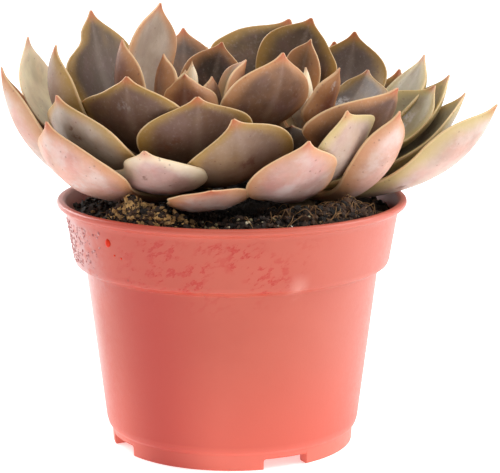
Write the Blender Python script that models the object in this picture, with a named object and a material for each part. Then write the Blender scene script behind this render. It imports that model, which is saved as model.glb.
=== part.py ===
"""Potted succulent: a two-headed rosette in a plastic nursery pot.

Every leaf, both stems, the soil and the pot are separate closed solids.
Lengths in the tables are millimetres; the origin is the middle of the pot's
base pad, +Z is up and -Y is the side the plant is usually seen from.
"""

import math
from collections import namedtuple

import bmesh
import bpy
from mathutils import Matrix, Vector
from mathutils.bvhtree import BVHTree

MM = 0.001
UP = Vector((0.0, 0.0, 1.0))

# ---- pot -------------------------------------------------------------------
POT_SEGMENTS = 48
POT_HEIGHT = 85.5
RIM_RADIUS = 60.0
FOOT_RADIUS = 41.7
PAD_RADIUS = 10.0
# (radius, height) from the base pad, up the outside, over the lip and down inside
POT_PROFILE = [
    (0.0, 0.0), (PAD_RADIUS, 0.0), (PAD_RADIUS + 0.5, 3.9), (37.0, 3.9), (37.3, 0.0),
    (FOOT_RADIUS, 0.0), (42.0, 5.4), (43.2, 6.6), (43.8, 8.6),
    (50.4, 61.6), (53.8, 63.4), (54.3, 64.8), (57.0, 80.8), (57.6, 82.4),
    (59.4, 83.2), (RIM_RADIUS, 83.8), (RIM_RADIUS, 84.9), (59.5, POT_HEIGHT),
    (57.9, POT_HEIGHT), (57.0, 84.7), (55.6, 79.6), (53.0, 65.2), (49.3, 62.6),
    (42.4, 9.0), (41.4, 6.4), (0.0, 5.3),
]
NOTCH_ANGLES = [-154.0, -64.0, 26.0, 116.0]
NOTCH_WIDTH = 16.0
NOTCH_HEIGHT = 3.7

# ---- soil ------------------------------------------------------------------
SOIL_SEGMENTS = 40
SOIL_GAP = 0.35
SOIL_LEVEL = 80.0
SOIL_RINGS = 7
# (radius, height) of the soil's side, inside the pot's wall
SOIL_SIDE = [(41.0, 6.6), (42.0, 9.1), (48.9, 62.6), (52.6, 65.5), (55.2, 79.5)]
# (x, y, height above the level, spread) of the heaps in the soil's top
SOIL_HEAPS = [
    (-33.0, -39.0, 9.5, 8.0),
    (-47.0, -12.0, 5.0, 9.0),
    (-20.0, -45.0, 3.0, 7.0),
    (4.0, -48.0, 5.0, 9.0),
    (24.0, -43.0, 6.0, 8.0),
    (42.0, -31.0, 8.0, 10.0),
    (44.0, 18.0, 2.5, 12.0),
    (4.0, 44.0, 3.0, 12.0),
    (-40.0, 22.0, 2.0, 12.0),
]

# ---- stems -----------------------------------------------------------------
HEADS = {"a": (-15.0, 2.0), "b": (24.0, -1.0)}
STEM_RADIUS = 4.8
STEM_FOOT = 52.0
STEM_TOP = 106.0
STEM_SEGMENTS = 16

# ---- leaves ----------------------------------------------------------------
LEAF_THICKNESS = 4.0
LEAF_SEGMENTS = 10
LEAF_RINGS = 10
LEAF_GAP = 0.35
LEAF_FOLD = 0.1
# share of the full half-width, and of the full thickness, along the blade
WIDTH_ALONG = [
    (0.0, 0.34), (0.15, 0.42), (0.32, 0.64), (0.48, 0.88), (0.62, 1.0), (0.74, 0.98),
    (0.83, 0.84), (0.89, 0.60), (0.935, 0.32), (0.965, 0.15), (1.0, 0.03),
]
THICKNESS_ALONG = [(0.0, 0.70), (0.3, 1.0), (0.7, 0.9), (0.9, 0.5), (1.0, 0.12)]

# head: the stem it grows on; azimuth: the way it points, degrees from +X;
# reach: tip's distance from the stem's axis; tip: its height; width: of the blade;
# base: height where it leaves the stem; rise_base, rise_tip: slope at each end, degrees;
# cup: how far the margins lift, as a share of the half-width; roll: turn of the blade
# about its midrib; sway: sideways bow of the midrib; shoulder: <1 puts the widest
# place nearer the base; stem: how far from the axis it starts
Leaf = namedtuple(
    "Leaf",
    "name head azimuth reach tip width base rise_base rise_tip cup roll sway shoulder stem",
    defaults=(0.15, 0, 0, 1.0, 5.6),
)
# innermost first, so that an outer leaf is trimmed where an inner one presses on it
LEAVES = [
    Leaf("leaf_a_bud_1", "a", -60, 3, 132, 5, 108, 85, 90, stem=1.5),
    Leaf("leaf_a_bud_2", "a", 100, 6, 128, 9, 108, 70, 100, cup=0.3, stem=2.5),
    Leaf("leaf_a_inner_1", "a", -142, 10, 135, 12, 107, 40, 85, stem=4),
    Leaf("leaf_a_inner_7", "a", -25, 9, 127, 13, 106, 40, 95, cup=0.3, stem=4.5),
    Leaf("leaf_a_inner_2", "a", -93, 13, 129, 22, 106, 30, 72, shoulder=0.75),
    Leaf("leaf_a_inner_3", "a", 148, 11, 151, 30, 104, 30, 105, cup=0.1, sway=14),
    Leaf("leaf_a_inner_4", "a", -160, 23, 140, 24, 103, 5, 95, cup=0.25),
    Leaf("leaf_a_inner_5", "a", 5, 20, 132, 24, 105, 10, 60, cup=0.3),
    Leaf("leaf_a_inner_6", "a", 60, 23, 136, 26, 102, 30, 85, sway=8),
    Leaf("leaf_a_front_1", "a", -42, 43, 138, 33, 100, 25, 80, cup=0.05, roll=-15),
    Leaf("leaf_a_front_2", "a", -118, 40, 131, 38, 97, 18, 78, cup=0.05),
    Leaf("leaf_a_front_3", "a", -84, 40, 125, 40, 95, 15, 78, cup=0.03, roll=12),
    Leaf("leaf_a_front_4", "a", -139, 55, 125, 37, 92, 10, 72, cup=0.1),
    Leaf("leaf_a_front_5", "a", -72, 51, 119, 37, 91, 10, 78, cup=0.03, roll=6, sway=22),
    Leaf("leaf_a_front_6", "a", -104, 52, 109, 35, 90, 8, 60),
    Leaf("leaf_a_front_7", "a", -138, 60, 117, 36, 86, 5, 78, cup=0.1),
    Leaf("leaf_a_front_8", "a", -81, 56, 97, 27, 88, 5, 36, cup=0.03, roll=4, sway=5),
    Leaf("leaf_a_left_1", "a", -166, 45, 138.5, 30, 94, 5, 106, cup=0.3),
    Leaf("leaf_a_left_2", "a", 162, 59, 138, 32, 91, 10, 97, cup=0.05),
    Leaf("leaf_a_left_3", "a", -171, 63, 131, 27, 86, 0, 84, cup=0.38),
    Leaf("leaf_a_back_1", "a", 149, 40, 147, 38, 98, 12, 90, cup=0.0),
    Leaf("leaf_a_back_2", "a", 94, 38, 139, 24, 98, 15, 65),
    Leaf("leaf_a_back_3", "a", 40, 46, 143, 36, 98, 35, 60, cup=0.05, roll=45),
    Leaf("leaf_a_back_4", "a", 122, 46, 134, 30, 94, 12, 80),
    Leaf("leaf_a_back_5", "a", 84, 50, 131, 28, 92, 12, 70),
    Leaf("leaf_a_back_6", "a", 141, 57, 124, 32, 89, 5, 75),
    Leaf("leaf_a_back_7", "a", 107, 56, 118, 34, 87, 3, 72),
    Leaf("leaf_a_back_8", "a", 70, 57, 116, 32, 86, 5, 72),
    Leaf("leaf_b_bud_1", "b", 0, 1, 130, 5, 108, 85, 90, stem=1),
    Leaf("leaf_b_bud_2", "b", -100, 5, 122, 8, 108, 70, 100, cup=0.3, stem=2.5),
    Leaf("leaf_b_inner_1", "b", 60, 6, 139, 14, 107, 70, 95, sway=20, stem=3.5),
    Leaf("leaf_b_inner_5", "b", 175, 9, 128, 15, 107, 40, 95, cup=0.25, stem=4),
    Leaf("leaf_b_inner_2", "b", -38, 15.5, 131, 15, 104, 70, 60, shoulder=0.65),
    Leaf("leaf_b_inner_6", "b", -108, 12, 112, 12, 101, 15, 85, cup=0.2),
    Leaf("leaf_b_inner_3", "b", 78, 17, 145, 31, 104, 45, 88, roll=-12, sway=18),
    Leaf("leaf_b_inner_4", "b", 42, 31.5, 126.5, 33, 102, 30, 75, shoulder=0.85),
    Leaf("leaf_b_right_1", "b", -37, 38.5, 126, 42, 98, 12, 58, cup=0.25, shoulder=0.8),
    Leaf("leaf_b_right_2", "b", 33, 52, 131, 27, 98, 15, 75, roll=-10),
    Leaf("leaf_b_right_3", "b", 12, 47, 122.5, 28, 95, 15, 65, cup=0.3, roll=26),
    Leaf("leaf_b_right_4", "b", 20, 55, 125, 26, 92, 15, 62, cup=0.2),
    Leaf("leaf_b_right_5", "b", 9, 57, 120, 26, 89, 10, 60, cup=0.2),
    Leaf("leaf_b_right_6", "b", -10, 66, 119, 30, 86, 5, 58, cup=0.2, roll=-20),
    Leaf("leaf_b_front_1", "b", -72, 43, 121, 28, 92, 12, 70, cup=0.05, roll=30, sway=8),
    Leaf("leaf_b_front_2", "b", -48, 46, 120, 21, 87, 0, 70),
    Leaf("leaf_b_front_3", "b", -89, 52, 113, 29, 88, 5, 65, cup=0.03, roll=22, sway=-12),
    Leaf("leaf_b_back_1", "b", 63, 43, 138, 32, 99, 20, 85),
    Leaf("leaf_b_back_2", "b", 104, 42, 130, 28, 97, 15, 78),
    Leaf("leaf_b_back_3", "b", 76, 53, 133, 30, 93, 15, 80),
    Leaf("leaf_b_back_4", "b", 50, 56, 124, 30, 90, 8, 75),
    Leaf("leaf_b_back_5", "b", 94, 55, 117, 30, 88, 5, 72),
    Leaf("leaf_b_back_6", "b", 66, 60, 112, 30, 85, 3, 68),
    Leaf("leaf_b_back_7", "b", 28, 60, 112, 30, 85.5, 6, 65),
]
# uneven margins: (side, place up the blade, change of that half-width, spread);
# side +1 is the one on the left when the leaf points away from you
LOBES = {
    "leaf_a_inner_2": [(-1, 0.72, -0.28, 0.15), (-1, 0.86, -0.2, 0.06), (1, 0.86, -0.25, 0.06)],
    "leaf_a_front_2": [(-1, 0.77, 0.2, 0.09), (-1, 0.6, 0.08, 0.12), (-1, 0.89, -0.12, 0.04)],
    "leaf_a_front_3": [(-1, 0.6, -0.06, 0.2)],
    "leaf_a_front_4": [(1, 0.7, 0.1, 0.2)],
    "leaf_a_front_6": [(-1, 0.8, -0.4, 0.12), (-1, 0.55, 0.1, 0.12), (1, 0.88, -0.1, 0.08)],
    "leaf_a_front_7": [(1, 0.62, 0.22, 0.14), (-1, 0.72, -0.14, 0.2)],
    "leaf_a_front_8": [
        (-1, 0.9, 0.55, 0.07), (1, 0.9, 0.5, 0.07), (-1, 0.965, 1.6, 0.04), (1, 0.965, 1.5, 0.04),
    ],
    "leaf_a_left_1": [(1, 0.55, -0.2, 0.25)],
    "leaf_a_back_1": [(1, 0.86, -0.45, 0.06), (1, 0.7, 0.06, 0.1), (-1, 0.8, 0.14, 0.1)],
    "leaf_a_back_3": [(1, 0.65, 0.15, 0.15)],
    "leaf_b_inner_2": [(1, 0.55, -0.35, 0.2), (-1, 0.38, 0.4, 0.16)],
    "leaf_b_inner_3": [(-1, 0.85, -0.15, 0.1)],
    "leaf_b_inner_4": [(1, 0.8, -0.35, 0.15), (-1, 0.8, 0.15, 0.12)],
    "leaf_b_right_1": [(1, 0.75, -0.4, 0.25), (-1, 0.48, 0.3, 0.22)],
    "leaf_b_front_1": [(1, 0.8, 0.22, 0.1)],
    "leaf_b_front_3": [(-1, 0.7, 0.2, 0.2)],
    "leaf_b_right_3": [(1, 0.65, 0.12, 0.2), (-1, 0.6, -0.35, 0.3)],
}


def clear_scene():
    for ob in list(bpy.data.objects):
        bpy.data.objects.remove(ob, do_unlink=True)


def material(name, colour, roughness):
    mat = bpy.data.materials.new(name)
    mat.use_nodes = True
    shader = mat.node_tree.nodes["Principled BSDF"]
    shader.inputs["Base Color"].default_value = (*colour, 1.0)
    shader.inputs["Roughness"].default_value = roughness
    return mat


def add_object(name, bm, mat, sharp=40.0):
    """Hand a finished bmesh over as a named, smooth-shaded object, in metres."""
    bmesh.ops.recalc_face_normals(bm, faces=bm.faces)
    bmesh.ops.scale(bm, vec=(MM, MM, MM), verts=bm.verts)
    mesh = bpy.data.meshes.new(name)
    bm.to_mesh(mesh)
    bm.free()
    mesh.materials.append(mat)
    mesh.shade_smooth()
    mesh.set_sharp_from_angle(angle=math.radians(sharp))
    ob = bpy.data.objects.new(name, mesh)
    bpy.context.collection.objects.link(ob)
    return ob


def cut(ob, cutter):
    """Take the cutter's volume out of the object and drop the cutter."""
    step = ob.modifiers.new("cut", "BOOLEAN")
    step.operation = "DIFFERENCE"
    step.solver = "EXACT"
    step.object = cutter
    graph = bpy.context.evaluated_depsgraph_get()
    result = bpy.data.meshes.new_from_object(ob.evaluated_get(graph))
    ob.modifiers.clear()
    ob.data = result
    bpy.data.objects.remove(cutter, do_unlink=True)


def spun(profile, segments):
    """A closed solid of revolution from (radius, height) pairs that start and end on the axis."""
    bm = bmesh.new()
    verts = [bm.verts.new((r, 0.0, z)) for r, z in profile]
    edges = [bm.edges.new(pair) for pair in zip(verts, verts[1:])]
    bmesh.ops.spin(
        bm, geom=verts + edges, cent=(0, 0, 0), axis=(0, 0, 1),
        angle=math.tau, steps=segments, use_merge=True,
    )
    bmesh.ops.remove_doubles(bm, verts=bm.verts, dist=1e-4)
    return bm


def along(table, t):
    """Value at t from a table of (position, value) rows."""
    for (t0, v0), (t1, v1) in zip(table, table[1:]):
        if t <= t1:
            return v0 + (v1 - v0) * (t - t0) / (t1 - t0)
    return table[-1][1]


class Midrib:
    """The curve a leaf is built on, from its place on the stem to its tip."""

    def __init__(self, leaf):
        az = math.radians(leaf.azimuth)
        out = Vector((math.cos(az), math.sin(az), 0.0))
        self.side = UP.cross(out)
        axis = Vector((*HEADS[leaf.head], 0.0))
        base = axis + out * leaf.stem + UP * leaf.base
        tip = axis + out * leaf.reach + UP * leaf.tip
        handle = (tip - base).length * 0.42
        low, high = math.radians(leaf.rise_base), math.radians(leaf.rise_tip)
        bow = self.side * handle * math.sin(math.radians(leaf.sway))
        start = base + (out * math.cos(low) + UP * math.sin(low)) * handle + bow
        end = tip - (out * math.cos(high) + UP * math.sin(high)) * handle + bow
        self.points = base, start, end, tip

    def place(self, t):
        b, c, d, e = self.points
        u = 1.0 - t
        return b * u**3 + c * (3 * u * u * t) + d * (3 * u * t * t) + e * t**3

    def heading(self, t):
        b, c, d, e = self.points
        u = 1.0 - t
        return ((c - b) * (u * u) + (d - c) * (2 * u * t) + (e - d) * (t * t)).normalized()


def leaf_mesh(leaf, grow=0.0):
    """A sphere drawn out along the midrib; grow makes it fatter all round."""
    rib = Midrib(leaf)
    bm = bmesh.new()
    bmesh.ops.create_uvsphere(bm, u_segments=LEAF_SEGMENTS, v_segments=LEAF_RINGS, radius=1.0)
    for vert in bm.verts:
        t = (vert.co.z + 1.0) / 2.0
        ring = math.hypot(vert.co.x, vert.co.y)
        across, through = (vert.co.x / ring, vert.co.y / ring) if ring > 1e-6 else (0.0, 0.0)
        heading = rib.heading(t)
        side = (rib.side - heading * rib.side.dot(heading)).normalized()
        turn = math.radians(leaf.roll) * min(1.0, t * 1.6)
        side = Matrix.Rotation(turn, 3, heading) @ side
        inward = heading.cross(side)
        half = leaf.width / 2 * along(WIDTH_ALONG, t**leaf.shoulder)
        half *= 1 + sum(
            gain * math.exp(-(((t - spot) / spread) ** 2))
            for lobe_side, spot, gain, spread in LOBES.get(leaf.name, [])
            if lobe_side * across > 0
        )
        thick = LEAF_THICKNESS * along(THICKNESS_ALONG, t)
        crease = math.sqrt(across**2 + 0.02) - math.sqrt(0.02)
        lift = half * (leaf.cup * across**2 + LEAF_FOLD * crease)
        share = 0.35 if through > 0 else 0.65
        at = rib.place(t) + heading * grow * vert.co.z
        at += side * across * (half + grow)
        at += inward * (lift + through * (share * thick + grow))
        vert.co = at
    return bm


def trim(ob, leaves):
    """Cut back a piece where the swollen shape of a leaf runs into it."""
    for leaf in leaves:
        swollen = leaf_mesh(leaf, grow=LEAF_GAP)
        mine = bmesh.new()
        mine.from_mesh(ob.data)
        bmesh.ops.scale(mine, vec=(1 / MM, 1 / MM, 1 / MM), verts=mine.verts)
        meets = BVHTree.FromBMesh(mine).overlap(BVHTree.FromBMesh(swollen))
        mine.free()
        if meets:
            cut(ob, add_object("cutter", swollen, mat_leaf))
        else:
            swollen.free()
    keep_largest(ob)


def keep_largest(ob):
    """Drop the crumbs a cut leaves beside the main body."""
    bm = bmesh.new()
    bm.from_mesh(ob.data)
    bmesh.ops.remove_doubles(bm, verts=bm.verts, dist=0.02 * MM)
    left = set(bm.faces)
    islands = []
    while left:
        island = {left.pop()}
        edge_of = list(island)
        while edge_of:
            face = edge_of.pop()
            for near in {f for e in face.edges for f in e.link_faces} & left:
                left.discard(near)
                island.add(near)
                edge_of.append(near)
        islands.append(island)
    largest = max(islands, key=len)
    spare = [f for f in bm.faces if f not in largest]
    bmesh.ops.delete(bm, geom=spare, context="FACES")
    bm.to_mesh(ob.data)
    bm.free()


def soil_top(x, y):
    """Height of the soil's surface above its level."""
    heap = sum(
        high * math.exp(-((x - hx) ** 2 + (y - hy) ** 2) / (2 * wide**2))
        for hx, hy, high, wide in SOIL_HEAPS
    )
    ripple = 0.5 * math.sin(0.35 * x + 1.0) * math.cos(0.31 * y)
    return heap + ripple


def make_pot():
    pot = add_object("pot", spun(POT_PROFILE, POT_SEGMENTS), mat_pot)
    for angle in NOTCH_ANGLES:
        turn = Matrix.Rotation(math.radians(angle), 4, "Z")
        box = Matrix.Diagonal((14.0, NOTCH_WIDTH, 2 * NOTCH_HEIGHT, 1.0))
        bm = bmesh.new()
        bmesh.ops.create_cube(
            bm, size=1.0, matrix=turn @ Matrix.Translation((FOOT_RADIUS, 0, 0)) @ box
        )
        cut(pot, add_object("notch", bm, mat_pot))
    return pot


def make_soil():
    last = SOIL_SIDE[-1][0]
    top = [(last * (1 - i / SOIL_RINGS), SOIL_LEVEL) for i in range(1, SOIL_RINGS + 1)]
    bm = spun([(0.0, SOIL_SIDE[0][1])] + SOIL_SIDE + top, SOIL_SEGMENTS)
    for vert in bm.verts:
        radius = math.hypot(vert.co.x, vert.co.y)
        if vert.co.z > SOIL_LEVEL - 0.1 and radius < last - 1.0:
            vert.co.z += soil_top(vert.co.x, vert.co.y)
    return add_object("soil", bm, mat_soil)


def stem_mesh(head, grow=0.0):
    x, y = HEADS[head]
    wide = STEM_RADIUS + grow
    profile = [
        (0.0, STEM_FOOT - grow), (wide * 0.8, STEM_FOOT - grow), (wide, STEM_FOOT + 6),
        (wide, STEM_TOP - 8), (wide - 2.5, STEM_TOP), (0.0, STEM_TOP),
    ]
    bm = spun(profile, STEM_SEGMENTS)
    bmesh.ops.translate(bm, vec=(x, y, 0.0), verts=bm.verts)
    return bm


clear_scene()
mat_pot = material("pot_plastic", (0.62, 0.13, 0.09), 0.42)
mat_soil = material("soil", (0.035, 0.022, 0.014), 0.95)
mat_stem = material("stem", (0.20, 0.13, 0.08), 0.8)
mat_leaf = material("leaf", (0.33, 0.21, 0.17), 0.55)

make_pot()
soil = make_soil()
for head in HEADS:
    cut(soil, add_object("socket", stem_mesh(head, grow=SOIL_GAP), mat_soil))
    add_object("stem_" + head, stem_mesh(head), mat_stem)
trim(soil, LEAVES)
for i, leaf in enumerate(LEAVES):
    ob = add_object(leaf.name, leaf_mesh(leaf), mat_leaf, sharp=75.0)
    trim(ob, LEAVES[:i])
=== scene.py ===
"""Looks of the potted succulent: fleshy leaves, plastic pot, open soil, soft white studio.

Tables are in millimetres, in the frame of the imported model: the origin is the middle
of the pot's base, +Z is up and -Y is the front. Meshes are scaled to metres when done.
"""

import math
import random
from collections import namedtuple

import bmesh
import bpy
from mathutils import Matrix, Vector, noise


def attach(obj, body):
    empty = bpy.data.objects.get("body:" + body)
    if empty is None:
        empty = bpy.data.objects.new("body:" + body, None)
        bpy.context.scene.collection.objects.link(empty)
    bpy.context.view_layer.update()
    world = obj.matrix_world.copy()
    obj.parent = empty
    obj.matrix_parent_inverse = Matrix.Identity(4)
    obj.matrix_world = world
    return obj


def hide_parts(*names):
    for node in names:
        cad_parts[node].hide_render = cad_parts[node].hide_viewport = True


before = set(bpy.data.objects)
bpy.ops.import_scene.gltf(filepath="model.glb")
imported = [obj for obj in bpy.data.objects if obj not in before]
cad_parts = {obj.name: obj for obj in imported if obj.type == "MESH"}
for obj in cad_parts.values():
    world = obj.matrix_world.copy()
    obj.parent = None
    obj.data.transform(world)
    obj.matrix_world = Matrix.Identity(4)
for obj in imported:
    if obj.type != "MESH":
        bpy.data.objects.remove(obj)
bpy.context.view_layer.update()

MM = 0.001
UP = Vector((0.0, 0.0, 1.0))

# ---- pot -------------------------------------------------------------------
POT_SEGMENTS = 192
POT_ROUNDING = 0.45
POT_HEIGHT = 85.5
FOOT_RADIUS = 41.7
# (radius, height) from the base pad, up the outside, over the lip and down inside
POT_PROFILE = [
    (0.0, 0.0), (10.0, 0.0), (10.5, 3.9), (37.0, 3.9), (37.3, 0.0),
    (FOOT_RADIUS, 0.0), (42.0, 5.4), (43.2, 6.6), (43.8, 8.6),
    (50.4, 61.6), (53.8, 63.4), (54.3, 64.8), (57.0, 80.8), (57.6, 82.4),
    (59.4, 83.2), (60.0, 83.8), (60.0, 84.9), (59.5, POT_HEIGHT),
    (57.9, POT_HEIGHT), (57.0, 84.7), (55.6, 79.6), (53.0, 65.2), (49.3, 62.6),
    (42.4, 9.0), (41.4, 6.4), (0.0, 5.3),
]
NOTCH_ANGLES = [-154.0, -64.0, 26.0, 116.0]
NOTCH_WIDTH = 16.0
NOTCH_HEIGHT = 3.7

# ---- soil ------------------------------------------------------------------
SOIL_SEGMENTS = 176
SOIL_RINGS = 74
SOIL_LEVEL = 80.0
SOIL_EDGE = 4.0
SOIL_REACH = 54.3
SOIL_SIDE = [(41.0, 6.6), (42.0, 9.1), (48.9, 62.6), (52.6, 65.5), (55.2, 79.5)]
# (x, y, height above the level, spread) of the heaps in the soil's top
SOIL_HEAPS = [
    (-33.0, -39.0, 9.5, 8.0),
    (-47.0, -12.0, 5.0, 9.0),
    (-20.0, -45.0, 3.0, 7.0),
    (4.0, -48.0, 5.0, 9.0),
    (24.0, -43.0, 6.0, 8.0),
    (42.0, -31.0, 8.0, 10.0),
    (44.0, 18.0, 2.5, 12.0),
    (4.0, 44.0, 3.0, 12.0),
    (-40.0, 22.0, 2.0, 12.0),
]

# ---- stems -----------------------------------------------------------------
HEADS = {"a": (-15.0, 2.0), "b": (24.0, -1.0)}
STEM_RADIUS = 4.8
STEM_FOOT = 52.0
STEM_TOP = 106.0

# ---- leaves ----------------------------------------------------------------
BLADE_SEGMENTS = 32
BLADE_RINGS = 46
LEAF_THICKNESS = 4.0
LEAF_FOLD = 0.1
# share of the full half-width, and of the full thickness, along the blade
WIDTH_ALONG = [
    (0.0, 0.34), (0.15, 0.42), (0.32, 0.64), (0.48, 0.88), (0.62, 1.0), (0.74, 0.98),
    (0.83, 0.84), (0.89, 0.60), (0.935, 0.32), (0.965, 0.15), (1.0, 0.03),
]
THICKNESS_ALONG = [(0.0, 0.70), (0.3, 1.0), (0.7, 0.9), (0.9, 0.5), (1.0, 0.12)]

# head: the stem it grows on; azimuth: the way it points, degrees from +X;
# reach: tip's distance from the stem's axis; tip: its height; width: of the blade;
# base: height where it leaves the stem; rise_base, rise_tip: slope at each end, degrees;
# cup: how far the margins lift, as a share of the half-width; roll: turn of the blade
# about its midrib; sway: sideways bow of the midrib; shoulder: <1 puts the widest
# place nearer the base; stem: how far from the axis it starts
Leaf = namedtuple(
    "Leaf",
    "name head azimuth reach tip width base rise_base rise_tip cup roll sway shoulder stem",
    defaults=(0.15, 0, 0, 1.0, 5.6),
)
LEAVES = [
    Leaf("leaf_a_bud_1", "a", -60, 3, 132, 5, 108, 85, 90, stem=1.5),
    Leaf("leaf_a_bud_2", "a", 100, 6, 128, 9, 108, 70, 100, cup=0.3, stem=2.5),
    Leaf("leaf_a_inner_1", "a", -142, 10, 135, 12, 107, 40, 85, stem=4),
    Leaf("leaf_a_inner_7", "a", -25, 9, 127, 13, 106, 40, 95, cup=0.3, stem=4.5),
    Leaf("leaf_a_inner_2", "a", -93, 13, 129, 22, 106, 30, 72, shoulder=0.75),
    Leaf("leaf_a_inner_3", "a", 148, 11, 151, 30, 104, 30, 105, cup=0.1, sway=14),
    Leaf("leaf_a_inner_4", "a", -160, 23, 140, 24, 103, 5, 95, cup=0.25),
    Leaf("leaf_a_inner_5", "a", 5, 20, 132, 24, 105, 10, 60, cup=0.3),
    Leaf("leaf_a_inner_6", "a", 60, 23, 136, 26, 102, 30, 85, sway=8),
    Leaf("leaf_a_front_1", "a", -42, 43, 138, 33, 100, 25, 80, cup=0.05, roll=-15),
    Leaf("leaf_a_front_2", "a", -118, 40, 131, 38, 97, 18, 78, cup=0.05),
    Leaf("leaf_a_front_3", "a", -84, 40, 125, 40, 95, 15, 78, cup=0.03, roll=12),
    Leaf("leaf_a_front_4", "a", -139, 55, 125, 37, 92, 10, 72, cup=0.1),
    Leaf("leaf_a_front_5", "a", -72, 51, 119, 37, 91, 10, 78, cup=0.03, roll=6, sway=22),
    Leaf("leaf_a_front_6", "a", -104, 52, 109, 35, 90, 8, 60),
    Leaf("leaf_a_front_7", "a", -138, 60, 117, 36, 86, 5, 78, cup=0.1),
    Leaf("leaf_a_front_8", "a", -81, 56, 97, 27, 88, 5, 36, cup=0.03, roll=4, sway=5),
    Leaf("leaf_a_left_1", "a", -166, 45, 138.5, 30, 94, 5, 106, cup=0.3),
    Leaf("leaf_a_left_2", "a", 162, 59, 138, 32, 91, 10, 97, cup=0.05),
    Leaf("leaf_a_left_3", "a", -171, 63, 131, 27, 86, 0, 84, cup=0.38),
    Leaf("leaf_a_back_1", "a", 149, 40, 147, 38, 98, 12, 90, cup=0.0),
    Leaf("leaf_a_back_2", "a", 94, 38, 139, 24, 98, 15, 65),
    Leaf("leaf_a_back_3", "a", 40, 46, 143, 36, 98, 35, 60, cup=0.05, roll=45),
    Leaf("leaf_a_back_4", "a", 122, 46, 134, 30, 94, 12, 80),
    Leaf("leaf_a_back_5", "a", 84, 50, 131, 28, 92, 12, 70),
    Leaf("leaf_a_back_6", "a", 141, 57, 124, 32, 89, 5, 75),
    Leaf("leaf_a_back_7", "a", 107, 56, 118, 34, 87, 3, 72),
    Leaf("leaf_a_back_8", "a", 70, 57, 116, 32, 86, 5, 72),
    Leaf("leaf_b_bud_1", "b", 0, 1, 130, 5, 108, 85, 90, stem=1),
    Leaf("leaf_b_bud_2", "b", -100, 5, 122, 8, 108, 70, 100, cup=0.3, stem=2.5),
    Leaf("leaf_b_inner_1", "b", 60, 6, 139, 14, 107, 70, 95, sway=20, stem=3.5),
    Leaf("leaf_b_inner_5", "b", 175, 9, 128, 15, 107, 40, 95, cup=0.25, stem=4),
    Leaf("leaf_b_inner_2", "b", -38, 15.5, 131, 15, 104, 70, 60, shoulder=0.65),
    Leaf("leaf_b_inner_6", "b", -108, 12, 112, 12, 101, 15, 85, cup=0.2),
    Leaf("leaf_b_inner_3", "b", 78, 17, 145, 31, 104, 45, 88, roll=-12, sway=18),
    Leaf("leaf_b_inner_4", "b", 42, 31.5, 126.5, 33, 102, 30, 75, shoulder=0.85),
    Leaf("leaf_b_right_1", "b", -37, 38.5, 126, 42, 98, 12, 58, cup=0.25, shoulder=0.8),
    Leaf("leaf_b_right_2", "b", 33, 52, 131, 27, 98, 15, 75, roll=-10),
    Leaf("leaf_b_right_3", "b", 12, 47, 122.5, 28, 95, 15, 65, cup=0.3, roll=26),
    Leaf("leaf_b_right_4", "b", 20, 55, 125, 26, 92, 15, 62, cup=0.2),
    Leaf("leaf_b_right_5", "b", 9, 57, 120, 26, 89, 10, 60, cup=0.2),
    Leaf("leaf_b_right_6", "b", -10, 66, 119, 30, 86, 5, 58, cup=0.2, roll=-20),
    Leaf("leaf_b_front_1", "b", -72, 43, 121, 28, 92, 12, 70, cup=0.05, roll=30, sway=8),
    Leaf("leaf_b_front_2", "b", -48, 46, 120, 21, 87, 0, 70),
    Leaf("leaf_b_front_3", "b", -89, 52, 113, 29, 88, 5, 65, cup=0.03, roll=22, sway=-12),
    Leaf("leaf_b_back_1", "b", 63, 43, 138, 32, 99, 20, 85),
    Leaf("leaf_b_back_2", "b", 104, 42, 130, 28, 97, 15, 78),
    Leaf("leaf_b_back_3", "b", 76, 53, 133, 30, 93, 15, 80),
    Leaf("leaf_b_back_4", "b", 50, 56, 124, 30, 90, 8, 75),
    Leaf("leaf_b_back_5", "b", 94, 55, 117, 30, 88, 5, 72),
    Leaf("leaf_b_back_6", "b", 66, 60, 112, 30, 85, 3, 68),
    Leaf("leaf_b_back_7", "b", 28, 60, 112, 30, 85.5, 6, 65),
]

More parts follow.
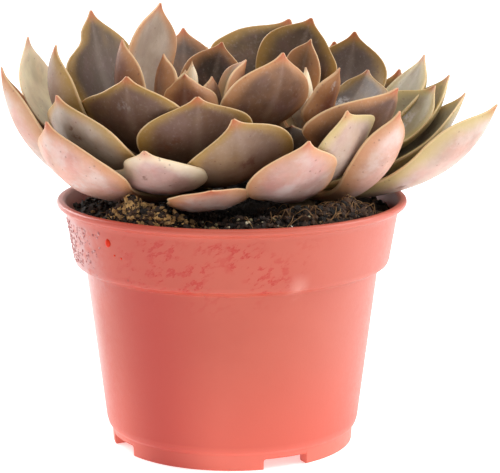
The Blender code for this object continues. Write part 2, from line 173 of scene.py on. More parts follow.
# uneven margins: (side, place up the blade, change of that half-width, spread);
# side +1 is the one on the left when the leaf points away from you
LOBES = {
    "leaf_a_inner_2": [(-1, 0.72, -0.28, 0.15), (-1, 0.86, -0.2, 0.06), (1, 0.86, -0.25, 0.06)],
    "leaf_a_front_2": [(-1, 0.77, 0.2, 0.09), (-1, 0.6, 0.08, 0.12), (-1, 0.89, -0.12, 0.04)],
    "leaf_a_front_3": [(-1, 0.6, -0.06, 0.2)],
    "leaf_a_front_4": [(1, 0.7, 0.1, 0.2)],
    "leaf_a_front_6": [(-1, 0.8, -0.4, 0.12), (-1, 0.55, 0.1, 0.12), (1, 0.88, -0.1, 0.08)],
    "leaf_a_front_7": [(1, 0.62, 0.22, 0.14), (-1, 0.72, -0.14, 0.2)],
    "leaf_a_front_8": [
        (-1, 0.9, 0.55, 0.07), (1, 0.9, 0.5, 0.07), (-1, 0.965, 1.6, 0.04), (1, 0.965, 1.5, 0.04),
    ],
    "leaf_a_left_1": [(1, 0.55, -0.2, 0.25)],
    "leaf_a_back_1": [(1, 0.86, -0.45, 0.06), (1, 0.7, 0.06, 0.1), (-1, 0.8, 0.14, 0.1)],
    "leaf_a_back_3": [(1, 0.65, 0.15, 0.15)],
    "leaf_b_inner_2": [(1, 0.55, -0.35, 0.2), (-1, 0.38, 0.4, 0.16)],
    "leaf_b_inner_3": [(-1, 0.85, -0.15, 0.1)],
    "leaf_b_inner_4": [(1, 0.8, -0.35, 0.15), (-1, 0.8, 0.15, 0.12)],
    "leaf_b_right_1": [(1, 0.75, -0.4, 0.25), (-1, 0.48, 0.3, 0.22)],
    "leaf_b_front_1": [(1, 0.8, 0.22, 0.1)],
    "leaf_b_front_3": [(-1, 0.7, 0.2, 0.2)],
    "leaf_b_right_3": [(1, 0.65, 0.12, 0.2), (-1, 0.6, -0.35, 0.3)],
}

# leaf tones, as display values from 0 to 255
TONES = {
    "dusk": (118, 87, 70),
    "slate": (100, 82, 72),
    "umber": (92, 72, 54),
    # painted shade: near-black brown for leaf faces that sit in deep shadow
    "shadow": (56, 43, 32),
    "rust": (122, 70, 45),
    "olive": (104, 100, 62),
    "mauve": (158, 130, 112),
    "bone": (190, 172, 156),
    "rose": (204, 168, 160),
    "salmon": (210, 166, 150),
    "shell": (208, 184, 170),
    # pale cream of young inner faces, pushed brighter as painted backlight through the thin leaves
    "cream": (252, 244, 208),
    "sage": (132, 120, 98),
    "fern": (168, 156, 126),
    "lime": (194, 172, 108),
    "gold": (170, 132, 60),
    "peach": (196, 140, 92),
    "pale": (244, 226, 194),
}
# (outer face, inner face, margin, how much darker it gets towards the stem: painted shade from the
# leaves above, partly the leaf's own darker base);
# leaves that aren't named take the first row
USUAL_LOOK = ("mauve", "slate", "gold", 0.7)
LOOKS = {
    "leaf_a_bud_1": ("cream", "cream", "pale", 0.3),
    "leaf_a_bud_2": ("cream", "cream", "pale", 0.3),
    "leaf_a_inner_1": ("dusk", "cream", "peach", 0.5),
    "leaf_a_inner_7": ("dusk", "cream", "peach", 0.5),
    "leaf_a_inner_2": ("rust", "umber", "peach", 0.7),
    "leaf_a_inner_3": ("mauve", "bone", "peach", 0.3),
    "leaf_a_inner_4": ("rust", "cream", "peach", 0.6),
    "leaf_a_inner_5": ("rust", "olive", "peach", 0.7),
    # its inner face takes the painted shadow tone
    "leaf_a_inner_6": ("rust", "shadow", "peach", 0.8),
    "leaf_a_front_1": ("dusk", "umber", "peach", 1.0),
    "leaf_a_front_2": ("dusk", "umber", "gold", 0.75),
    "leaf_a_front_3": ("dusk", "umber", "gold", 0.9),
    "leaf_a_front_4": ("bone", "sage", "gold", 0.45),
    "leaf_a_front_5": ("mauve", "sage", "gold", 1.0),
    "leaf_a_front_6": ("rose", "sage", "pale", 0.25),
    "leaf_a_front_7": ("salmon", "sage", "peach", 0.3),
    "leaf_a_front_8": ("salmon", "sage", "peach", 0.05),
    "leaf_a_left_1": ("mauve", "umber", "gold", 0.7),
    "leaf_a_left_2": ("shell", "cream", "pale", 0.0),
    "leaf_a_left_3": ("shell", "dusk", "peach", 0.3),
    # its umber inner face is partly its own colour, partly painted shade on the shaded half
    "leaf_a_back_1": ("mauve", "umber", "gold", 0.6),
    "leaf_a_back_2": ("dusk", "slate", "peach", 0.7),
    "leaf_a_back_3": ("umber", "umber", "gold", 0.7),
    "leaf_a_back_5": ("mauve", "cream", "gold", 0.2),
    "leaf_a_back_6": ("mauve", "bone", "gold", 0.3),
    "leaf_b_bud_1": ("cream", "cream", "pale", 0.3),
    "leaf_b_bud_2": ("rust", "cream", "pale", 0.3),
    "leaf_b_inner_1": ("rust", "umber", "peach", 0.7),
    "leaf_b_inner_2": ("rust", "sage", "peach", 0.8),
    "leaf_b_inner_3": ("umber", "umber", "gold", 0.7),
    "leaf_b_inner_4": ("dusk", "slate", "gold", 0.8),
    "leaf_b_inner_5": ("rust", "olive", "peach", 0.7),
    # painted shade over the whole leaf, deep in the rosette
    "leaf_b_inner_6": ("shadow", "shadow", "umber", 0.9),
    "leaf_b_right_1": ("dusk", "rust", "peach", 0.95),
    "leaf_b_right_2": ("mauve", "fern", "lime", 0.5),
    "leaf_b_right_3": ("mauve", "fern", "lime", 0.5),
    "leaf_b_right_4": ("bone", "fern", "lime", 0.5),
    "leaf_b_right_5": ("bone", "fern", "lime", 0.5),
    "leaf_b_right_6": ("shell", "sage", "lime", 0.4),
    "leaf_b_front_1": ("shell", "rust", "lime", 0.5),
    "leaf_b_front_2": ("salmon", "rust", "peach", 0.3),
    "leaf_b_front_3": ("rose", "rust", "peach", 0.2),
}
# rubbed patches: (share of the way up, place across, spread, +1 brown or -1 pale and dry)
SCARS = {
    "leaf_a_front_1": [(0.52, -0.1, 0.14, 1), (0.75, 0.5, 0.08, 1)],
    "leaf_a_front_2": [(0.83, -0.1, 0.08, -1), (0.66, -0.5, 0.08, 1), (0.62, 0.1, 0.1, 1)],
    "leaf_a_front_3": [(0.72, -0.5, 0.15, 1), (0.55, -0.7, 0.1, 1)],
    "leaf_a_front_4": [(0.8, 0.2, 0.08, 1)],
    "leaf_a_front_5": [(0.7, 0.1, 0.12, 1)],
    "leaf_a_front_6": [(0.8, -0.2, 0.1, 1)],
    "leaf_a_front_7": [(0.62, 0.1, 0.1, -1)],
    "leaf_b_inner_2": [(0.8, -0.3, 0.12, -1)],
    "leaf_b_inner_4": [(0.6, 0.3, 0.14, -1)],
    "leaf_b_right_3": [(0.7, 0.1, 0.16, -1)],
    "leaf_b_right_6": [(0.4, -0.3, 0.1, 1)],
}


# ---- small tools -----------------------------------------------------------
def tint(red, green, blue):
    """Linear colour for display values from 0 to 255."""
    shares = [value / 255 for value in (red, green, blue)]
    return tuple(s / 12.92 if s <= 0.04045 else ((s + 0.055) / 1.055) ** 2.4 for s in shares)


def along(table, t):
    """Smooth value at t from a table of (position, value) rows."""
    last = len(table) - 1
    i = 0
    while i < last - 1 and t > table[i + 1][0]:
        i += 1
    (t0, v0), (t1, v1) = table[i], table[i + 1]
    before = table[max(i - 1, 0)]
    after = table[min(i + 2, last)]
    step = t1 - t0
    u = min(max((t - t0) / step, 0.0), 1.0)
    slope0 = (v1 - before[1]) / (t1 - before[0]) * step
    slope1 = (after[1] - v0) / (after[0] - t0) * step
    return (
        v0 * (2 * u**3 - 3 * u**2 + 1) + slope0 * (u**3 - 2 * u**2 + u)
        + v1 * (3 * u**2 - 2 * u**3) + slope1 * (u**3 - u**2)
    )


def hand_over(name, bm, mat, sharp=45.0):
    """Turn a finished bmesh in millimetres into a smooth-shaded piece in metres."""
    bmesh.ops.scale(bm, vec=(MM, MM, MM), verts=bm.verts)
    mesh = bpy.data.meshes.new(name)
    bm.to_mesh(mesh)
    bm.free()
    mesh.materials.append(mat)
    mesh.shade_smooth()
    mesh.set_sharp_from_angle(angle=math.radians(sharp))
    piece = bpy.data.objects.new(name, mesh)
    bpy.context.collection.objects.link(piece)
    return piece


def settle(piece, slot, *nodes):
    """Hang a piece on the root body and hide the model parts it stands for; the slot is not used.
    """
    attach(piece, "root")
    if nodes:
        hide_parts(*nodes)


def spun(profile, segments, rounding=0.0):
    """A closed solid of revolution from (radius, height) pairs that start and end on the axis."""
    bm = bmesh.new()
    verts = [bm.verts.new((r, 0.0, z)) for r, z in profile]
    for pair in zip(verts, verts[1:]):
        bm.edges.new(pair)
    if rounding:
        bmesh.ops.bevel(
            bm, geom=verts[1:-1], offset=rounding, offset_type="OFFSET", segments=3,
            profile=0.5, affect="VERTICES", clamp_overlap=True, material=-1,
        )
    bmesh.ops.spin(
        bm, geom=bm.verts[:] + bm.edges[:], cent=(0, 0, 0), axis=(0, 0, 1),
        angle=math.tau, steps=segments, use_merge=True,
    )
    bmesh.ops.remove_doubles(bm, verts=bm.verts, dist=1e-4)
    bmesh.ops.recalc_face_normals(bm, faces=bm.faces)
    return bm


def paint(piece, name, colour):
    """Give every point of a piece the same colour attribute."""
    layer = piece.data.attributes.new(name, "FLOAT_COLOR", "POINT")
    layer.data.foreach_set("color", [*colour, 1.0] * len(piece.data.vertices))


def grade(piece, name, values):
    """Give the points of a piece a number each."""
    layer = piece.data.attributes.new(name, "FLOAT", "POINT")
    layer.data.foreach_set("value", values)


# ---- shading tools ---------------------------------------------------------
class Nodes:
    """Adds and joins the nodes of one tree."""

    def __init__(self, tree):
        self.tree = tree

    def add(self, kind, **settings):
        node = self.tree.nodes.new(kind)
        for key, value in settings.items():
            setattr(node, key, value)
        return node

    def feed(self, socket, value):
        if isinstance(value, bpy.types.NodeSocket):
            self.tree.links.new(value, socket)
        elif socket.type == "RGBA" and len(value) == 3:
            socket.default_value = (*value, 1.0)
        else:
            socket.default_value = value

    def maths(self, operation, first, second=0.0, clamp=False):
        node = self.add("ShaderNodeMath", operation=operation, use_clamp=clamp)
        self.feed(node.inputs[0], first)
        self.feed(node.inputs[1], second)
        return node.outputs[0]

    def times(self, first, *others):
        """Product of all the values."""
        for other in others:
            first = self.maths("MULTIPLY", first, other)
        return first

    def plus(self, first, second):
        return self.maths("ADD", first, second)

    def off(self, value, centre):
        """How far a value is from a centre, either way."""
        return self.maths("ABSOLUTE", self.maths("SUBTRACT", value, centre))

    def blend(self, share, first, second, mode="MIX"):
        node = self.add("ShaderNodeMix", data_type="RGBA", blend_type=mode, clamp_factor=True)
        self.feed(node.inputs["Factor"], share)
        self.feed(node.inputs[6], first)
        self.feed(node.inputs[7], second)
        return node.outputs[2]

    def ease(self, value, low, high, start=0.0, stop=1.0):
        """Smooth step from start at low to stop at high."""
        node = self.add("ShaderNodeMapRange", interpolation_type="SMOOTHSTEP")
        for key, part in zip(
            ("Value", "From Min", "From Max", "To Min", "To Max"),
            (value, low, high, start, stop),
        ):
            self.feed(node.inputs[key], part)
        return node.outputs[0]

    def noise(self, place, scale, detail=3.0, rough=0.55):
        node = self.add("ShaderNodeTexNoise")
        self.feed(node.inputs["Vector"], place)
        self.feed(node.inputs["Scale"], scale)
        self.feed(node.inputs["Detail"], detail)
        self.feed(node.inputs["Roughness"], rough)
        return node.outputs["Fac"]

    def place(self, turn=(0.0, 0.0, 0.0)):
        """Object coordinates, turned if asked."""
        spot = self.add("ShaderNodeTexCoord").outputs["Object"]
        if not any(turn):
            return spot
        node = self.add("ShaderNodeMapping")
        self.feed(node.inputs["Vector"], spot)
        node.inputs["Rotation"].default_value = turn
        return node.outputs[0]

    def stretch(self, vector, scale):
        node = self.add("ShaderNodeMapping")
        self.feed(node.inputs["Vector"], vector)
        node.inputs["Scale"].default_value = scale
        return node.outputs[0]

    def attribute(self, name, output="Color"):
        return self.add("ShaderNodeAttribute", attribute_name=name).outputs[output]

    def split(self, vector):
        node = self.add("ShaderNodeSeparateXYZ")
        self.feed(node.inputs[0], vector)
        return node.outputs

    def bump(self, height, strength, distance):
        node = self.add("ShaderNodeBump")
        self.feed(node.inputs["Height"], height)
        node.inputs["Strength"].default_value = strength
        node.inputs["Distance"].default_value = distance
        return node.outputs[0]

    def effect(self, group, **values):
        """Place a shared effect with its own values."""
        node = self.add("ShaderNodeGroup", node_tree=group)
        for key, value in values.items():
            self.feed(node.inputs[key], value)
        return node.outputs[0]


def new_effect(name, inputs, result="NodeSocketFloat"):
    """An empty shared effect: a Place input, the named number inputs and one output."""
    tree = bpy.data.node_groups.new(name, "ShaderNodeTree")
    tree.interface.new_socket("Place", in_out="INPUT", socket_type="NodeSocketVector")
    for label in inputs:
        tree.interface.new_socket(label, in_out="INPUT", socket_type="NodeSocketFloat")
    tree.interface.new_socket("Mask", in_out="OUTPUT", socket_type=result)
    nodes = Nodes(tree)
    return nodes, nodes.add("NodeGroupInput").outputs, nodes.add("NodeGroupOutput").inputs[0]


def make_mottle():
    """Soft clouds: 0 below Low, 1 above High."""
    nodes, given, out = new_effect("mottle", ["Scale", "Low", "High"])
    clouds = nodes.noise(given["Place"], given["Scale"], 4.0, 0.6)
    nodes.feed(out, nodes.ease(clouds, given["Low"], given["High"]))
    return nodes.tree


def make_specks():
    """Scattered dots of uneven size: a larger Amount gives more of them."""
    nodes, given, out = new_effect("specks", ["Scale", "Amount"])
    cells = nodes.add("ShaderNodeTexVoronoi")
    warped = nodes.add("ShaderNodeVectorMath", operation="MULTIPLY_ADD")
    shake = nodes.add("ShaderNodeTexNoise")
    nodes.feed(shake.inputs["Vector"], given["Place"])
    nodes.feed(shake.inputs["Scale"], nodes.times(given["Scale"], 1.6))
    nodes.feed(warped.inputs[0], shake.outputs["Color"])
    nodes.feed(warped.inputs[1], (0.0006, 0.0006, 0.0006))
    nodes.feed(warped.inputs[2], given["Place"])
    nodes.feed(cells.inputs["Vector"], warped.outputs[0])
    nodes.feed(cells.inputs["Scale"], given["Scale"])
    pick = nodes.split(cells.outputs["Color"])[0]
    size = nodes.times(nodes.maths("SUBTRACT", given["Amount"], pick), 0.9)
    dot = nodes.maths("SUBTRACT", size, cells.outputs["Distance"])
    nodes.feed(out, nodes.ease(dot, 0.0, 0.12))
    return nodes.tree


def make_grain():
    """Fine surface relief between 0 and 1."""
    nodes, given, out = new_effect("grain", ["Scale"])
    coarse = nodes.noise(given["Place"], given["Scale"], 5.0, 0.65)
    finer = nodes.times(given["Scale"], 4.0)
    fine = nodes.noise(given["Place"], finer, 2.0, 0.5)
    coarse_share = nodes.times(coarse, 0.65)
    fine_share = nodes.times(fine, 0.35)
    nodes.feed(out, nodes.plus(coarse_share, fine_share))
    return nodes.tree


MOTTLE = make_mottle()
SPECKS = make_specks()
GRAIN = make_grain()


def new_finish(name):
    mat = bpy.data.materials.new(name)
    mat.use_nodes = True
    return mat, Nodes(mat.node_tree), mat.node_tree.nodes["Principled BSDF"].inputs


# ---- finishes --------------------------------------------------------------
def leaf_finish():
    """Waxy leaf skin: two-sided tones, warm tip, rubbed patches, and painted light: a pale
    highlight on the thin margin and along the keel, shade towards the stem.
    """
    mat, nodes, skin = new_finish("leaf_skin")
    place = nodes.place()
    lie = nodes.split(nodes.attribute("lie", "Vector"))
    length, across, inner = lie[0], lie[1], lie[2]
    edge = nodes.attribute("edge", "Fac")
    scar = nodes.attribute("scar", "Fac")

    body = nodes.blend(inner, nodes.attribute("outer_tone"), nodes.attribute("inner_tone"))
    cloud = nodes.effect(MOTTLE, Place=place, Scale=70.0, Low=0.35, High=0.68)
    body = nodes.blend(nodes.times(cloud, 0.38), body, tint(150, 128, 100), "MULTIPLY")
    moss = nodes.effect(MOTTLE, Place=place, Scale=42.0, Low=0.45, High=0.72)
    body = nodes.blend(nodes.times(moss, 0.3), body, nodes.attribute("edge_tone"))
    plum = nodes.effect(MOTTLE, Place=place, Scale=120.0, Low=0.45, High=0.75)
    body = nodes.blend(nodes.times(plum, 0.25), body, tint(136, 100, 104))
    open_face = nodes.ease(nodes.attribute("shade", "Fac"), 0.3, 0.6, 1.0, 0.0)
    open_face = nodes.times(open_face, nodes.maths("SUBTRACT", 1.0, inner))
    blush = nodes.effect(MOTTLE, Place=place, Scale=58.0, Low=0.42, High=0.66)
    body = nodes.blend(nodes.times(blush, open_face, 0.45), body, tint(214, 140, 130))
    frost = nodes.effect(MOTTLE, Place=place, Scale=95.0, Low=0.45, High=0.7)
    body = nodes.blend(nodes.times(frost, open_face, 0.5), body, tint(214, 204, 200))
    # painted shade: the blade darkens towards the stem, shaded by the leaves above, partly its own
    # darker base; the leaf's shade number sets how much
    low = nodes.ease(length, 0.15, 0.75, 1.0, 0.0)
    low = nodes.times(low, nodes.attribute("shade", "Fac"))
    body = nodes.blend(low, body, tint(112, 100, 94), "MULTIPLY")
    # painted highlight: a faint pale line along the midrib, where the fold catches the light
    painted_keel_highlight = nodes.ease(nodes.off(across, 0.0), 0.0, 0.16, 0.1, 0.0)
    body = nodes.blend(painted_keel_highlight, body, tint(206, 184, 168))

    wander = nodes.noise(place, 160.0, 2.0)
    reach = nodes.plus(edge, nodes.times(wander, 3.0))
    band = nodes.ease(reach, 1.2, 8.5, 0.85, 0.0)
    body = nodes.blend(band, body, nodes.attribute("edge_tone"))
    tip = nodes.ease(length, 0.93, 1.0, 0.0, 0.7)
    body = nodes.blend(tip, body, tint(186, 88, 58))
    # painted highlight: a pale line right on the margin, where the thin edge catches the light
    rim = nodes.ease(edge, 0.1, 0.6, 0.6, 0.0)
    body = nodes.blend(rim, body, tint(232, 200, 156))

    rubbed = nodes.effect(MOTTLE, Place=place, Scale=260.0, Low=0.46, High=0.56)
    patch = nodes.times(rubbed, nodes.ease(scar, 0.25, 0.7))
    body = nodes.blend(nodes.times(patch, 0.7), body, tint(108, 64, 42))
    scuffed = nodes.effect(MOTTLE, Place=place, Scale=520.0, Low=0.42, High=0.6)
    dry = nodes.ease(nodes.times(scar, -1.0), 0.2, 0.7)
    dry = nodes.times(scuffed, dry)
    body = nodes.blend(nodes.times(dry, 0.6), body, tint(206, 200, 198))
    dots = nodes.effect(SPECKS, Place=place, Scale=620.0, Amount=0.36)
    body = nodes.blend(nodes.times(dots, 0.4), body, tint(112, 68, 58))
    bloom = nodes.effect(MOTTLE, Place=place, Scale=900.0, Low=0.5, High=0.78)
    body = nodes.blend(nodes.times(bloom, 0.1), body, tint(232, 220, 214))
    nodes.feed(skin["Base Color"], body)

    grain = nodes.effect(GRAIN, Place=place, Scale=900.0)
    nodes.feed(skin["Roughness"], nodes.ease(grain, 0.3, 0.7, 0.42, 0.6))
    relief = nodes.plus(grain, nodes.times(cloud, 0.8))
    nodes.feed(skin["Normal"], nodes.bump(relief, 0.25, 0.0004))
    skin["Specular IOR Level"].default_value = 0.45
    skin["Subsurface Weight"].default_value = 0.12
    skin["Subsurface Radius"].default_value = (1.0, 0.45, 0.3)
    skin["Subsurface Scale"].default_value = 0.003
    return mat


def pot_finish():
    """Moulded coral plastic: damp smears and mist on the collar, a scuff and a little dirt;
    painted light makes it paler to the right with a pale glow up the left, and painted shade makes
    it deeper red at the left front.
    """
    mat, nodes, shell = new_finish("pot_shell_plastic")
    place = nodes.place()
    x, y, z = nodes.split(place)
    # way round the pot in radians: 0 at the front, - to the left, + to the right
    bearing = nodes.maths("ARCTAN2", x, nodes.times(y, -1.0))

    cloud = nodes.effect(MOTTLE, Place=place, Scale=24.0, Low=0.3, High=0.7)
    body = nodes.blend(cloud, tint(180, 76, 58), tint(187, 85, 66))
    # painted light: paler coral round the right side, where the lamp on that side falls
    painted_light_right = nodes.ease(nodes.off(bearing, 1.3), 0.4, 1.3, 0.6, 0.0)
    body = nodes.blend(painted_light_right, body, tint(198, 108, 92))
    low = nodes.ease(z, 0.0, 0.05, 0.9, 0.0)
    body = nodes.blend(low, body, tint(210, 92, 74))
    foot = nodes.ease(z, 0.004, 0.009, 1.0, 0.0)
    body = nodes.blend(foot, body, tint(224, 112, 94))

    under_lip = nodes.ease(z, 0.0795, 0.082, 1.0, 0.0)
    collar = nodes.times(
        nodes.ease(z, 0.059, 0.066, 0.35, 1.0), nodes.ease(z, 0.052, 0.059), under_lip
    )
    front = nodes.ease(nodes.off(bearing, -0.16), 0.25, 0.85, 1.0, 0.0)
    slanted = nodes.stretch(nodes.place(turn=(0.0, 0.6, 0.0)), (0.5, 0.5, 1.0))
    streaks = nodes.effect(MOTTLE, Place=slanted, Scale=520.0, Low=0.5, High=0.58)
    gather = nodes.effect(MOTTLE, Place=place, Scale=70.0, Low=0.38, High=0.56)
    smear = nodes.times(streaks, front, collar, gather)
    body = nodes.blend(nodes.times(smear, 0.8), body, tint(178, 40, 28))

    left = nodes.ease(nodes.off(bearing, -1.5), 0.3, 0.75, 1.0, 0.0)
    mist = nodes.effect(MOTTLE, Place=place, Scale=240.0, Low=0.3, High=0.65)
    body = nodes.blend(nodes.times(mist, left, collar, 0.8), body, tint(188, 152, 152))
    # painted light, with some mist: a pale glow up the left side of the body, where light from
    # behind spills round
    painted_glow_left = nodes.ease(nodes.off(bearing, -1.6), 0.15, 0.55, 0.6, 0.0)
    painted_glow_left = nodes.times(painted_glow_left, nodes.ease(z, 0.0, 0.03))
    body = nodes.blend(painted_glow_left, body, tint(206, 176, 174))
    damp = nodes.effect(SPECKS, Place=place, Scale=760.0, Amount=0.5)
    beads = nodes.times(damp, left, collar)
    body = nodes.blend(nodes.times(beads, 0.7), body, tint(146, 62, 64))

    # painted shade: deeper red across the left front, turned from the light, strongest below the
    # collar
    painted_shade_deep = nodes.ease(nodes.off(bearing, -0.58), 0.0, 0.55, 1.0, 0.0)
    painted_shade_deep = nodes.times(painted_shade_deep, nodes.ease(z, 0.06, 0.064, 0.75, 0.35))
    body = nodes.blend(painted_shade_deep, body, tint(166, 38, 26))
    scuff = nodes.times(
        nodes.ease(nodes.off(bearing, 0.42), 0.0, 0.09, 1.0, 0.0),
        nodes.ease(nodes.off(z, 0.064), 0.0, 0.006, 1.0, 0.0),
        nodes.effect(MOTTLE, Place=slanted, Scale=300.0, Low=0.35, High=0.6),
    )
    body = nodes.blend(nodes.times(scuff, 0.3), body, tint(232, 176, 164))

    grit = nodes.effect(SPECKS, Place=place, Scale=360.0, Amount=0.26)
    on_ledge = nodes.ease(nodes.off(z, 0.0625), 0.0012, 0.0045, 1.0, 0.0)
    grit = nodes.times(grit, on_ledge)
    body = nodes.blend(nodes.times(grit, 0.75), body, tint(74, 48, 36))
    nodes.feed(shell["Base Color"], body)

    grain = nodes.effect(GRAIN, Place=place, Scale=420.0)
    matt = nodes.ease(grain, 0.3, 0.7, 0.36, 0.48)
    wet = nodes.times(nodes.plus(smear, beads), 0.16)
    nodes.feed(shell["Roughness"], nodes.maths("SUBTRACT", matt, wet, clamp=True))
    swell = nodes.noise(place, 32.0, 2.0)
    relief = nodes.plus(nodes.times(grain, 0.25), nodes.times(swell, 0.9))
    nodes.feed(shell["Normal"], nodes.bump(relief, 0.3, 0.0006))
    shell["Specular IOR Level"].default_value = 0.35
    shell["Coat Weight"].default_value = 0.15
    shell["Coat Roughness"].default_value = 0.3
    shell["Subsurface Weight"].default_value = 0.06
    shell["Subsurface Radius"].default_value = (1.0, 0.3, 0.2)
    shell["Subsurface Scale"].default_value = 0.002
    return mat


def soil_finish(name, dark, middle, light):
    """Peat and bark: dark where damp, tan where dry, each crumb with its own tone."""
    mat, nodes, earth = new_finish(name)
    place = nodes.place()
    tone = nodes.attribute("tone", "Fac")
    body = nodes.blend(nodes.ease(tone, 0.0, 0.55), tint(*dark), tint(*middle))
    body = nodes.blend(nodes.ease(tone, 0.6, 1.0), body, tint(*light))
    cloud = nodes.effect(MOTTLE, Place=place, Scale=380.0, Low=0.4, High=0.62)
    body = nodes.blend(nodes.times(cloud, 0.5), body, tint(120, 104, 92), "MULTIPLY")
    flecks = nodes.effect(SPECKS, Place=place, Scale=900.0, Amount=0.3)
    body = nodes.blend(nodes.times(flecks, 0.4), body, tint(*light))
    nodes.feed(earth["Base Color"], body)
    grain = nodes.effect(GRAIN, Place=place, Scale=700.0)
    nodes.feed(earth["Roughness"], nodes.ease(grain, 0.3, 0.7, 0.78, 0.98))
    nodes.feed(earth["Normal"], nodes.bump(grain, 0.7, 0.0008))
    return mat


def stem_finish():
    """Corky stem with rings of old leaf scars."""
    mat, nodes, bark = new_finish("stem_bark")
    place = nodes.stretch(nodes.place(), (1.0, 1.0, 2.4))
    cloud = nodes.effect(MOTTLE, Place=place, Scale=180.0, Low=0.35, High=0.65)
    body = nodes.blend(cloud, tint(104, 82, 58), tint(150, 124, 86))
    flecks = nodes.effect(SPECKS, Place=place, Scale=500.0, Amount=0.35)
    body = nodes.blend(nodes.times(flecks, 0.5), body, tint(58, 42, 30))
    nodes.feed(bark["Base Color"], body)
    grain = nodes.effect(GRAIN, Place=place, Scale=500.0)
    nodes.feed(bark["Roughness"], nodes.ease(grain, 0.3, 0.7, 0.65, 0.85))
    nodes.feed(bark["Normal"], nodes.bump(grain, 0.5, 0.0008))
    return mat


def droplet_finish():
    """Water that shows the plastic behind it: hazy beads from dark red to pale pink, the pale
    partly a painted highlight, and three bright orange-red ones.
    """
    mat, nodes, water = new_finish("water_on_plastic")
    place = nodes.place()
    cloud = nodes.effect(MOTTLE, Place=place, Scale=900.0, Low=0.35, High=0.65)
    # the pale end of the beads' tone is partly a painted highlight
    highlit_bead_tone = nodes.blend(cloud, tint(158, 84, 82), tint(206, 164, 162))
    tone = nodes.attribute("tone", "Fac")
    nodes.feed(water["Base Color"], nodes.blend(tone, highlit_bead_tone, tint(206, 44, 14)))
    grain = nodes.effect(GRAIN, Place=place, Scale=300.0)
    nodes.feed(water["Roughness"], nodes.ease(grain, 0.3, 0.7, 0.3, 0.4))
    water["Specular IOR Level"].default_value = 0.15
    return mat


def floor_finish():
    """Matt white studio paper."""
    mat, nodes, paper = new_finish("studio_paper")
    place = nodes.place()
    cloud = nodes.effect(MOTTLE, Place=place, Scale=3.0, Low=0.3, High=0.7)
    nodes.feed(paper["Base Color"], nodes.blend(cloud, tint(252, 252, 252), tint(254, 254, 254)))
    paper["Roughness"].default_value = 0.9
    paper["Emission Color"].default_value = (1.0, 1.0, 1.0, 1.0)
    paper["Emission Strength"].default_value = 0.47
    return mat


# ---- pot and its water -----------------------------------------------------
def make_pot(mat):
    """The fine spun shell with its four drain notches."""
    pot = hand_over("pot_shell", spun(POT_PROFILE, POT_SEGMENTS, POT_ROUNDING), mat, 32.0)
    bm = bmesh.new()
    for angle in NOTCH_ANGLES:
        turn = Matrix.Rotation(math.radians(angle), 4, "Z")
        size = Matrix.Diagonal((14.0, NOTCH_WIDTH, 2 * NOTCH_HEIGHT, 1.0))
        made = bmesh.ops.create_cube(
            bm, size=1.0, matrix=turn @ Matrix.Translation((FOOT_RADIUS, 0, 0)) @ size
        )
        upright = [e for v in made["verts"] for e in v.link_edges]
        bmesh.ops.bevel(
            bm, geom=list(set(upright)), offset=0.8, offset_type="OFFSET", segments=3,
            profile=0.5, affect="EDGES", clamp_overlap=True, material=-1,
        )
    cutter = hand_over("notches", bm, mat)
    step = pot.modifiers.new("notches", "BOOLEAN")
    step.solver = "EXACT"
    step.object = cutter
    graph = bpy.context.evaluated_depsgraph_get()
    mesh = bpy.data.meshes.new_from_object(pot.evaluated_get(graph))
    pot.modifiers.clear()
    pot.data = mesh
    bpy.data.objects.remove(cutter, do_unlink=True)
    settle(pot, "pot", "pot")


def wall_radius(height):
    """Radius of the pot's outer wall at a height."""
    outside = POT_PROFILE[8:13]
    for (r0, z0), (r1, z1) in zip(outside, outside[1:]):
        if height <= z1:
            return r0 + (r1 - r0) * (height - z0) / (z1 - z0)
    return outside[-1][0]


def on_wall(bearing, height):
    """Matrix that puts a flat bead on the pot's wall; bearing 0 is the front, + is right."""
    angle = math.radians(bearing - 90.0)
    radius = wall_radius(height)
    spot = Vector((math.cos(angle) * radius, math.sin(angle) * radius, height))
    return Matrix.Translation(spot) @ Matrix.Rotation(angle, 4, "Z")


def make_droplets(mat):
    """Beads of water on the left and front of the collar."""
    rng = random.Random(11)
    beads = []
    for _ in range(230):
        bearing = rng.triangular(-94.0, -48.0, -80.0)
        beads.append((bearing, rng.uniform(65.4, 79.8), rng.triangular(0.22, 0.7, 0.3), 0.0))
    for bearing, height, size in ((-45.5, 77.2, 1.3), (-40.0, 72.6, 0.4), (-43.0, 73.2, 0.45)):
        beads.append((bearing, height, size, 1.0))
    bm = bmesh.new()
    layer = bm.verts.layers.float.new("tone")
    for bearing, height, size, tone in beads:
        shape = Matrix.Diagonal((size * 0.5, size, size * rng.uniform(0.7, 1.3), 1.0))
        made = bmesh.ops.create_uvsphere(
            bm, u_segments=8, v_segments=6, radius=1.0, matrix=on_wall(bearing, height) @ shape
        )
        for vert in made["verts"]:
            vert[layer] = tone
    settle(hand_over("pot_droplets", bm, mat, 180.0), "pot")


# ---- soil ------------------------------------------------------------------
def soil_top(x, y):
    """Height of the soil's surface above its level."""
    heap = sum(
        high * math.exp(-((x - hx) ** 2 + (y - hy) ** 2) / (2 * wide**2))
        for hx, hy, high, wide in SOIL_HEAPS
    )
    ripple = 0.5 * math.sin(0.35 * x + 1.0) * math.cos(0.31 * y)
    return heap + ripple


def clod(x, y):
    """Uneven relief of the open soil, from about -4 to 3."""
    coarse = noise.noise(Vector((x * 0.22, y * 0.22, 3.1)))
    fine = noise.noise(Vector((x * 0.7, y * 0.7, 8.4)))
    finest = noise.noise(Vector((x * 1.9, y * 1.9, 1.7)))
    return 1.8 * coarse + 2.4 * fine + 1.4 * finest - 0.9


def surface(x, y):
    """Height of the finished soil bed."""
    inside = SOIL_SIDE[-1][0] - math.hypot(x, y)
    return SOIL_LEVEL + (soil_top(x, y) + clod(x, y)) * min(1.0, inside / SOIL_EDGE)


